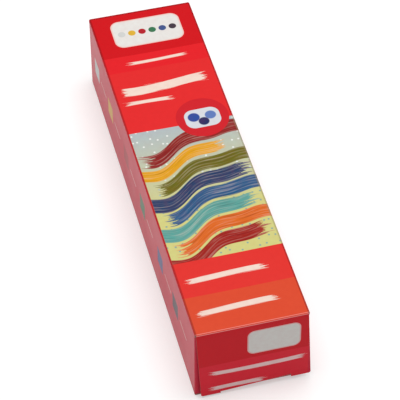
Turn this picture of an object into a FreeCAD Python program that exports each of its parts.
import FreeCAD, Part
import os
import Sketcher

# A paperboard tuck-end carton lying on its back, with a strip of six paint cups inside.
# X runs across the carton, Y along it (near end at -Y, far end at +Y) and Z up.
# The origin is in the middle of the back panel's outer face.

# Driving dimensions in millimetres, tapers and tilts in degrees.
SIZES = {
    # carton tube
    "carton_length": 210.0,
    "carton_width": 52.0,
    "carton_height": 42.4,
    "board": 0.45,
    "fold_radius": 0.9,
    "fold_return": 1.6,
    "raw_edge_lift": 0.3,
    "glue_flap_height": 14.0,
    "glue_flap_inset": 4.0,
    "glue_flap_chamfer": 5.0,
    # creases at the ends: a round bead of folded board on each hinge line
    "bead_radius": 0.8,
    "crease_gap": 0.2,
    # end panels
    "end_panel_gap": 0.2,
    "end_panel_tilt": 2.2,
    "end_side_gap": 0.5,
    "end_skew": 1.9,
    "end_shoulder_lift": 0.23,
    "end_shoulder_twist": 0.54,
    "end_corner_radius": 1.0,
    "slit_reach": 9.1,
    # tuck flaps
    "tuck_length": 10.0,
    "tuck_floor_gap": 0.75,
    "tuck_side_gap": 4.0,
    "tuck_taper": 2.0,
    "tuck_corner_radius": 5.0,
    "tuck_slit_gap": 0.5,
    # dust flaps
    "dust_length": 18.0,
    "dust_top_gap": 0.4,
    "dust_top_slope": 35.0,
    "dust_root_gap": 0.3,
    "dust_bottom_gap": 1.0,
    "dust_heel_gap": 1.0,
    "dust_heel_lift": 0.25,
    "dust_bottom_slope": 15.0,
    "dust_corner_radius": 2.5,
    # cups
    "strip_end_gap": 4.5,
    "cup_seat_gap": 0.2,
    "cup_draft": 2.6,
    "cup_wall": 0.9,
    "cup_floor": 1.0,
    "cup_base_round": 2.5,
    "cup_inner_round": 1.6,
    "flange_side_lip": 1.6,
    "flange_end_lip": 1.1,
    "flange_corner_radius": 9.0,
    "flange_thickness": 1.2,
    "bridge_length": 2.1,
    "bridge_width": 7.0,
    "bridge_thickness": 0.8,
    # cup lids
    "lid_headroom": 3.7,
    "lid_gap": 0.2,
    "lid_thickness": 1.4,
    "lid_inset": 0.3,
    "plug_depth": 2.4,
    "plug_wall": 0.9,
    "plug_clearance": 0.3,
    "tab_wall_gap": 2.55,
    "tab_length": 6.8,
    "tab_width": 12.0,
    "tab_corner_radius": 4.0,
    "hinge_wall_gap": 3.85,
    "hinge_width": 11.0,
    "hinge_gap": 0.2,
    "hinge_film": 0.4,
    # paint
    "paint_drop": 3.6,
    "paint_gap": 0.05,
    # how far a cut runs past the face that it opens, and a joined piece into its neighbour
    "overrun": 1.0,
}

# The cups from the far end to the near end.
COLOURS = ("white", "yellow", "red", "green", "blue", "black")

# Places worked out from the sizes above.
PLACES = {
    "half_length": "=sizes.carton_length / 2",
    "half_width": "=sizes.carton_width / 2",
    "front_inner": "=sizes.carton_height - sizes.board",
    "bead_plate": "=sizes.bead_radius - sizes.board / 2",
    "end_axis_in": "=sizes.bead_radius - sizes.board - sizes.end_panel_gap",
    "end_axis_up": "=sizes.carton_height - sizes.bead_radius",
    "end_top_half": "=half_width - sizes.end_side_gap",
    "tuck_axis_up": "=sizes.board + sizes.tuck_floor_gap + sizes.bead_radius",
    "end_drop": "=(end_axis_up - tuck_axis_up) / cos(sizes.end_panel_tilt * 1 deg)",
    "end_lean": "=end_drop * sin(sizes.end_panel_tilt * 1 deg)",
    "end_fold": "=end_drop - sizes.bead_radius - sizes.crease_gap",
    "end_shoulder": "=end_drop + sizes.bead_radius - sizes.end_shoulder_lift",
    "end_fold_skew": "=sizes.end_skew * end_fold / end_shoulder",
    "slit_half": "=end_top_half - sizes.slit_reach",
    "tuck_crease_half": "=slit_half - sizes.crease_gap",
    "tuck_half": "=half_width - sizes.tuck_side_gap",
    "tuck_skew": "=sizes.end_skew * end_drop / end_shoulder",
    "front_half_length": "=half_length - end_axis_in - sizes.bead_radius - sizes.crease_gap",
    "side_half_length": "=half_length - 2 * sizes.bead_radius - sizes.crease_gap",
    "dust_axis_side": "=half_width - sizes.bead_radius",
    "dust_top": "=sizes.carton_height - 2 * sizes.bead_radius - sizes.dust_top_gap",
    "dust_root": "=sizes.board + sizes.dust_root_gap",
    "dust_heel": "=dust_root + sizes.dust_heel_lift",
    "dust_bottom": "=sizes.board * 2 + sizes.tuck_floor_gap + sizes.dust_bottom_gap",
    "dust_tip_top": "=dust_top - sizes.dust_length * tan(sizes.dust_top_slope * 1 deg)",
    "dust_tip_bottom": "=dust_bottom + sizes.dust_length * tan(sizes.dust_bottom_slope * 1 deg)",
    "cup_up": "=sizes.board + sizes.cup_seat_gap",
    "cup_height": "=front_inner - cup_up - sizes.lid_gap - sizes.lid_thickness - sizes.lid_headroom",
    "cup_pitch": f"=(sizes.carton_length - 2 * sizes.strip_end_gap) / {len(COLOURS)}",
    "flange_half_length": "=(cup_pitch - sizes.bridge_length) / 2",
    "tab_reach": "=half_width - sizes.board - sizes.tab_wall_gap",
    # the largest round cup that fits both along the row and across the carton
    "rim_along": "=flange_half_length - sizes.flange_end_lip",
    "rim_across": "=tab_reach - sizes.tab_length - sizes.flange_side_lip",
    "cup_rim_radius": "=min(rim_along; rim_across)",
    "cup_base_radius": "=cup_rim_radius - sizes.cup_draft",
    "flange_half_width": "=cup_rim_radius + sizes.flange_side_lip",
    "cup_cavity_rim": "=cup_rim_radius - sizes.cup_wall",
    "cup_cavity_base": "=cup_base_radius - sizes.cup_wall",
    "flange_under": "=cup_height - sizes.flange_thickness",
    "lid_up": "=cup_up + cup_height + sizes.lid_gap",
    "lid_half_length": "=flange_half_length - sizes.lid_inset",
    "lid_half_width": "=flange_half_width - sizes.lid_inset",
    "hinge_outside": "=half_width - sizes.board - sizes.hinge_wall_gap",
    "hinge_inside": "=hinge_outside - sizes.hinge_film",
    "hinge_bead": "=sizes.lid_thickness / 2",
    "hinge_reach": "=hinge_inside - sizes.hinge_gap - hinge_bead",
    "plug_outer": "=cup_cavity_rim - sizes.plug_clearance",
    "paint_level": "=cup_height - sizes.paint_drop",
    "paint_floor": "=sizes.cup_floor + sizes.paint_gap",
    "cavity_flare": "=(cup_cavity_rim - cup_cavity_base) / (cup_height - sizes.cup_floor)",
    "paint_base": "=cup_cavity_base - sizes.paint_gap",
    "paint_top": "=paint_base + cavity_flare * (paint_level - sizes.cup_floor)",
}

# Each end by its outward direction along Y, each side by its direction along X.
ENDS = {"near": -1, "far": 1}
SIDES = {"left": -1, "right": 1}
# How close a point has to be to count as the same corner.
SAME_POINT = 0.0001

doc = FreeCAD.newDocument("paint_carton")


def make_sheet(name, cells):
    sheet = doc.addObject("Spreadsheet::Sheet", name)
    for row, (alias, content) in enumerate(cells.items(), start=1):
        sheet.set(f"A{row}", alias)
        sheet.set(f"B{row}", str(content))
        sheet.setAlias(f"B{row}", alias)
    doc.recompute()
    return sheet


sizes = make_sheet("sizes", SIZES)
places = make_sheet("places", PLACES)
nodes = []


def new_body(label):
    body = doc.addObject("PartDesign::Body", label)
    body.Label = label
    nodes.append(body)
    return body


def bind(thing, **expressions):
    """Bind properties to expressions; a double underscore stands for a dot in the path."""
    for path, expression in expressions.items():
        thing.setExpression(path.replace("__", "."), expression)


def put(thing, across="0", along="0", up="0"):
    bind(thing, Placement__Base__x=across, Placement__Base__y=along, Placement__Base__z=up)


def new_sketch(body, name, plane, offset="0"):
    sketch = body.newObject("Sketcher::SketchObject", f"{body.Label}_{name}")
    support = [f for f in body.Origin.OriginFeatures if f.Role == f"{plane}_Plane"]
    sketch.AttachmentSupport = (support[0], [""])
    sketch.MapMode = "FlatFace"
    bind(sketch, AttachmentOffset__Base__z=offset)
    return sketch


def outline(body, name, plane, corners, offset="0"):
    """A closed outline of straight edges whose corners are given as pairs of expressions."""
    sketch = new_sketch(body, name, plane, offset)
    points = [FreeCAD.Vector(*(float(sketch.evalExpression(e)) for e in pair)) for pair in corners]
    following = points[1:] + points[:1]
    for start, end in zip(points, following):
        sketch.addGeometry(Part.LineSegment(start, end), False)
    for index, (pair, point) in enumerate(zip(corners, points)):
        after = (index + 1) % len(points)
        sketch.addConstraint(Sketcher.Constraint("Coincident", index, 2, after, 1))
        for kind, expression, value in zip(("DistanceX", "DistanceY"), pair, point):
            number = sketch.addConstraint(Sketcher.Constraint(kind, -1, 1, index, 1, value))
            bind(sketch, **{f"Constraints[{number}]": expression})
    return sketch


def disc(body, name, plane, radius, centre=("0", "0"), offset="0"):
    """A circle with its centre and radius given as expressions."""
    sketch = new_sketch(body, name, plane, offset)
    middle = FreeCAD.Vector(*(float(sketch.evalExpression(e)) for e in centre))
    size = float(sketch.evalExpression(radius))
    sketch.addGeometry(Part.Circle(middle, FreeCAD.Vector(0, 0, 1), size), False)
    rules = [Sketcher.Constraint("Radius", 0, size)]
    rules.append(Sketcher.Constraint("DistanceX", -1, 1, 0, 3, middle.x))
    rules.append(Sketcher.Constraint("DistanceY", -1, 1, 0, 3, middle.y))
    for rule, expression in zip(rules, (radius, *centre)):
        number = sketch.addConstraint(rule)
        bind(sketch, **{f"Constraints[{number}]": expression})
    return sketch


def pad(body, sketch, length, symmetric=False):
    feature = body.newObject("PartDesign::Pad", f"{sketch.Name}_pad")
    feature.Profile = sketch
    feature.SideType = "Symmetric" if symmetric else "One side"
    bind(feature, Length=length)
    doc.recompute()
    return feature


def turn(body, sketch, kind="Revolution"):
    feature = body.newObject(f"PartDesign::{kind}", f"{sketch.Name}_turned")
    feature.Profile = sketch
    feature.ReferenceAxis = (sketch, ["V_Axis"])
    doc.recompute()
    return feature


def dress(body, kind, base, edges, name, size):
    feature = body.newObject(f"PartDesign::{kind}", f"{body.Label}_{name}")
    feature.Base = (base, edges)
    bind(feature, **{"Radius" if kind == "Fillet" else "Size": size})
    doc.recompute()
    return feature


def corner_edges(base, sketch, corners):
    """Names of the straight edges that the pad drew out of these corners of its outline."""
    normal = sketch.Placement.Rotation.multVec(FreeCAD.Vector(0, 0, 1))
    found = []
    for corner in corners:
        point = sketch.Placement.multVec(sketch.getPoint(corner, 1))
        for number, edge in enumerate(base.Shape.Edges, start=1):
            start, end = edge.firstVertex().Point, edge.lastVertex().Point
            along = (end - start).cross(normal).Length < SAME_POINT
            if along and (point - start).cross(normal).Length < SAME_POINT:
                found.append(f"Edge{number}")
    return found


def round_corners(body, base, sketch, corners, name, radius):
    return dress(body, "Fillet", base, corner_edges(base, sketch, corners), name, radius)


def ring_edges(base, radius, level):
    """Names of the circular edges of this radius at this height."""
    wanted = float(base.evalExpression(radius)), float(base.evalExpression(level))
    found = []
    for number, edge in enumerate(base.Shape.Edges, start=1):
        if isinstance(edge.Curve, Part.Circle):
            ring = edge.Curve.Radius, edge.Curve.Center.z
            if all(abs(a - b) < SAME_POINT for a, b in zip(ring, wanted)):
                found.append(f"Edge{number}")
    return found


def add_bead(body, name, plane, radius, length, centre=("0", "0")):
    """The round bead on a hinge line."""
    return pad(body, disc(body, name, plane, radius, centre), length, symmetric=True)


def flat_panel(label, left, right, half_length, bottom):
    """A flat panel of the tube, one board thick."""
    panel = doc.addObject("Part::Box", label)
    panel.Label = label
    nodes.append(panel)
    bind(panel, Length=f"({right}) - ({left})", Width=f"2 * {half_length}", Height="sizes.board")
    put(panel, left, f"-{half_length}", bottom)


def folded_panel(label, corners, outer, inner, half_length):
    """A side of the tube drawn as its folded section, with round folds."""
    body = new_body(label)
    section = outline(body, "section", "XZ", corners)
    solid = pad(body, section, f"2 * {half_length}", symmetric=True)
    solid = round_corners(body, solid, section, outer, "outer_fold", "sizes.fold_radius")
    inner_radius = "sizes.fold_radius - sizes.board"
    edges = corner_edges(solid, section, inner)
    return body, dress(body, "Fillet", solid, edges, "inner_fold", inner_radius)


def carton_tube():
    wall = "places.half_width"
    wall_inner = f"{wall} - sizes.board"
    fold = f"{wall} - sizes.fold_return"
    top = "sizes.carton_height"
    flat_panel("front_panel", f"-({fold})", fold, "places.front_half_length", "places.front_inner")
    glue_wall = wall_inner
    glue_fold = f"{glue_wall} - sizes.fold_return"
    flat_panel("back_panel", f"-({fold})", glue_fold, "places.half_length", "0")
    left_section = [
        (f"-({fold})", "0"),
        (f"-{wall}", "0"),
        (f"-{wall}", top),
        (f"-({fold})", top),
        (f"-({fold})", "places.front_inner"),
        (f"-({wall_inner})", "places.front_inner"),
        (f"-({wall_inner})", "sizes.board"),
        (f"-({fold})", "sizes.board"),
    ]
    folded_panel("left_side_panel", left_section, (1, 2), (5, 6), "places.side_half_length")
    right_section = [
        (fold, top),
        (wall, top),
        (wall, "sizes.raw_edge_lift"),
        (wall_inner, "sizes.raw_edge_lift"),
        (wall_inner, "places.front_inner"),
        (fold, "places.front_inner"),
    ]
    folded_panel("right_side_panel", right_section, (1,), (4,), "places.side_half_length")
    glue_section = [
        (glue_fold, "0"),
        (glue_wall, "0"),
        (glue_wall, "sizes.glue_flap_height"),
        (f"{glue_wall} - sizes.board", "sizes.glue_flap_height"),
        (f"{glue_wall} - sizes.board", "sizes.board"),
        (glue_fold, "sizes.board"),
    ]
    half = "(places.half_length - sizes.glue_flap_inset)"
    body, solid = folded_panel("glue_flap", glue_section, (1,), (4,), half)
    height = float(body.evalExpression("sizes.glue_flap_height"))
    top_ends = []
    for number, edge in enumerate(solid.Shape.Edges, start=1):
        ends = [vertex.Point for vertex in edge.Vertexes]
        level = all(abs(point.z - height) < SAME_POINT for point in ends)
        if level and abs(ends[0].y - ends[-1].y) < SAME_POINT:
            top_ends.append(f"Edge{number}")
    dress(body, "Chamfer", solid, top_ends, "tapered_ends", "sizes.glue_flap_chamfer")


def end_panel(end, out):
    """The closing panel: it hangs from the front panel's crease, stands ajar and leans to the right."""
    body = new_body(f"{end}_end_panel")
    left_foot = "-(places.end_shoulder + sizes.end_shoulder_twist)"
    right_foot = "-(places.end_shoulder - sizes.end_shoulder_twist)"
    corners = [
        ("-places.end_top_half", "0"),
        ("places.end_top_half", "0"),
        ("places.end_top_half + sizes.end_skew", right_foot),
        ("places.slit_half + sizes.end_skew", right_foot),
        ("places.slit_half + places.end_fold_skew", "-places.end_fold"),
        ("-places.slit_half + places.end_fold_skew", "-places.end_fold"),
        ("-places.slit_half + sizes.end_skew", left_foot),
        ("-places.end_top_half + sizes.end_skew", left_foot),
    ]
    sketch = outline(body, "outline", "XZ", corners, f"-({out}) * places.bead_plate")
    plate = pad(body, sketch, "sizes.board", symmetric=True)
    round_corners(body, plate, sketch, (2, 7), "corners", "sizes.end_corner_radius")
    add_bead(body, "crease", "YZ", "sizes.bead_radius", "2 * places.end_top_half")
    body.Placement.Rotation = FreeCAD.Rotation(FreeCAD.Vector(1, 0, 0), out)
    bind(body, Placement__Rotation__Angle=f"{out} * sizes.end_panel_tilt")
    put(body, along=f"{out} * (places.half_length - places.end_axis_in)", up="places.end_axis_up")


def tuck_flap(end, out):
    """The tongue that folds in from the end panel and lies just above the back panel."""
    body = new_body(f"{end}_tuck_flap")
    slit = f"{-out} * sizes.tuck_slit_gap"
    tip = f"{-out} * sizes.tuck_length"
    tip_half = "places.tuck_half - sizes.tuck_taper"
    corners = [
        ("-places.tuck_crease_half", "0"),
        ("places.tuck_crease_half", "0"),
        ("places.tuck_crease_half", slit),
        ("places.tuck_half", slit),
        (tip_half, tip),
        (f"-({tip_half})", tip),
        ("-places.tuck_half", slit),
        ("-places.tuck_crease_half", slit),
    ]
    sketch = outline(body, "outline", "XY", corners, "-places.bead_plate")
    plate = pad(body, sketch, "sizes.board", symmetric=True)
    round_corners(body, plate, sketch, (4, 5), "corners", "sizes.tuck_corner_radius")
    add_bead(body, "crease", "YZ", "sizes.bead_radius", "2 * places.tuck_crease_half")
    reach = "places.half_length - places.end_axis_in + places.end_lean"
    put(body, "places.tuck_skew", f"{out} * ({reach})", "places.tuck_axis_up")


def dust_flap(end, out, side, sign):
    """The flap that folds in from a side panel, behind the end panel."""
    body = new_body(f"{end}_{side}_dust_flap")
    tip = f"{-sign} * sizes.dust_length"
    # the heel beside the tuck flap reaches down to the back panel
    tuck_edge = f"(places.tuck_half + ({sign}) * places.tuck_skew)"
    beside_tuck = f"places.dust_axis_side - {tuck_edge} - sizes.dust_heel_gap"
    heel = f"{-sign} * max({beside_tuck}; sizes.bead_radius)"
    corners = [
        ("0", "places.dust_heel"),
        (heel, "places.dust_heel"),
        (heel, "places.dust_bottom"),
        (tip, "places.dust_tip_bottom"),
        (tip, "places.dust_tip_top"),
        ("0", "places.dust_top"),
    ]
    sketch = outline(body, "outline", "XZ", corners, f"-({out}) * places.bead_plate")
    plate = pad(body, sketch, "sizes.board", symmetric=True)
    round_corners(body, plate, sketch, (3, 4), "corners", "sizes.dust_corner_radius")
    circle = disc(body, "crease", "XY", "sizes.bead_radius", offset="places.dust_root")
    pad(body, circle, "places.dust_top - places.dust_root")
    across = f"{sign} * places.dust_axis_side"
    put(body, across, f"{out} * (places.half_length - sizes.bead_radius)")


def rectangle(left, right, half_width):
    return [
        (left, f"-({half_width})"),
        (right, f"-({half_width})"),
        (right, half_width),
        (left, half_width),
    ]


def place_in_row(thing, index, up):
    middle = (len(COLOURS) - 1) / 2 - index
    put(thing, along=f"{middle} * places.cup_pitch", up=up)


def cup(colour, index):
    """A tapered cup with a flange, a hinge tongue and the film that the lid turns on."""
    body = new_body(f"cup_{colour}")
    under = "places.flange_under"
    thick = "sizes.flange_thickness"
    half = "sizes.hinge_width / 2"
    wide = "places.flange_half_width"
    corners = rectangle(f"-{wide}", wide, "places.flange_half_length")
    flange = outline(body, "flange", "XY", corners, under)
    plate = pad(body, flange, thick)
    round_corners(body, plate, flange, range(4), "flange_corners", "sizes.flange_corner_radius")
    inner_end = f"-{wide} + sizes.overrun"
    tongue = outline(body, "tongue", "XY", rectangle("-places.hinge_outside", inner_end, half), under)
    pad(body, tongue, thick)
    corners = rectangle("-places.hinge_outside", "-places.hinge_inside", half)
    film = outline(body, "film", "XY", corners, "places.cup_height")
    pad(body, film, "sizes.lid_gap + sizes.lid_thickness")
    corners = [
        ("0", "0"),
        ("places.cup_base_radius", "0"),
        ("places.cup_rim_radius", "places.cup_height"),
        ("0", "places.cup_height"),
    ]
    solid = turn(body, outline(body, "wall", "XZ", corners))
    ring = ring_edges(solid, "places.cup_base_radius", "0")
    solid = dress(body, "Fillet", solid, ring, "base_round", "sizes.cup_base_round")
    above = "places.cup_height + sizes.overrun"
    corners = [
        ("0", "sizes.cup_floor"),
        ("places.cup_cavity_base", "sizes.cup_floor"),
        ("places.cup_cavity_rim", "places.cup_height"),
        ("places.cup_cavity_rim", above),
        ("0", above),
    ]
    before = solid.Shape.Volume
    hollow = turn(body, outline(body, "cavity", "XZ", corners), "Groove")
    if hollow.Shape.Volume >= before:
        raise RuntimeError(f"{body.Label}: the cavity cut nothing")
    ring = ring_edges(hollow, "places.cup_cavity_base", "sizes.cup_floor")
    dress(body, "Fillet", hollow, ring, "inner_round", "sizes.cup_inner_round")
    place_in_row(body, index, "places.cup_up")


def cup_lid(colour, index):
    """A flat lid with a sealing plug, a thumb tab and a hinge bead on its other side."""
    body = new_body(f"lid_{colour}")
    thick = "sizes.lid_thickness"
    corners = rectangle("-places.lid_half_width", "places.lid_half_width", "places.lid_half_length")
    top = outline(body, "top", "XY", corners)
    plate = pad(body, top, thick)
    round_corners(body, plate, top, range(4), "top_corners", "sizes.flange_corner_radius")
    inner_end = "places.lid_half_width - sizes.overrun"
    tab = outline(body, "tab", "XY", rectangle(inner_end, "places.tab_reach", "sizes.tab_width / 2"))
    plate = pad(body, tab, thick)
    round_corners(body, plate, tab, (1, 2), "tab_corners", "sizes.tab_corner_radius")
    corners = rectangle("-places.hinge_reach", f"-({inner_end})", "sizes.hinge_width / 2")
    pad(body, outline(body, "tongue", "XY", corners), thick)
    centre = ("-places.hinge_reach", "places.hinge_bead")
    add_bead(body, "hinge_bead", "XZ", "places.hinge_bead", "sizes.hinge_width", centre)
    plug_inner = "places.plug_outer - sizes.plug_wall"
    corners = [
        (plug_inner, "-sizes.plug_depth"),
        ("places.plug_outer", "-sizes.plug_depth"),
        ("places.plug_outer", "0"),
        (plug_inner, "0"),
    ]
    turn(body, outline(body, "plug", "XZ", corners))
    place_in_row(body, index, "places.lid_up")


def paint(colour, index):
    """The gouache in a cup, filled to just under the plug."""
    body = new_body(f"paint_{colour}")
    corners = [
        ("0", "places.paint_floor"),
        ("places.paint_base", "places.paint_floor"),
        ("places.paint_top", "places.paint_level"),
        ("0", "places.paint_level"),
    ]
    solid = turn(body, outline(body, "fill", "XZ", corners))
    ring = ring_edges(solid, "places.paint_base", "places.paint_floor")
    dress(body, "Fillet", solid, ring, "floor_round", "sizes.cup_inner_round")
    place_in_row(body, index, "places.cup_up")


def cup_bridges():
    """The snap-off bridges that join the flanges into one strip."""
    bridges = []
    long = "sizes.bridge_length"
    up = "places.cup_up + places.cup_height - sizes.bridge_thickness"
    for index in range(len(COLOURS) - 1):
        bridge = doc.addObject("Part::Box", f"cup_bridge_{index + 1}")
        bind(bridge, Length="sizes.bridge_width", Width=long, Height="sizes.bridge_thickness")
        middle = (len(COLOURS) - 2) / 2 - index
        put(bridge, "-sizes.bridge_width / 2", f"{middle} * places.cup_pitch - {long} / 2", up)
        bridges.append(bridge)
    group = doc.addObject("Part::Compound", "cup_bridges")
    group.Label = "cup_bridges"
    group.Links = bridges
    nodes.append(group)


carton_tube()
for end, out in ENDS.items():
    end_panel(end, out)
    tuck_flap(end, out)
    for side, sign in SIDES.items():
        dust_flap(end, out, side, sign)
for index, colour in enumerate(COLOURS):
    cup(colour, index)
    cup_lid(colour, index)
    paint(colour, index)
cup_bridges()
doc.recompute()

failed = [o.Label for o in doc.Objects if {"Invalid", "Error"} & set(o.State)]
if failed:
    raise RuntimeError(f"these objects failed: {failed}")
for node in nodes:
    if node.Shape.isNull() or not node.Shape.isValid():
        raise RuntimeError(f"{node.Label} has no valid shape")

os.makedirs("parts", exist_ok=True)
for node in nodes:
    node.Shape.exportStep(f"parts/{node.Label}.step")
    print(node.Label, len(node.Shape.Solids), round(node.Shape.Volume, 2))
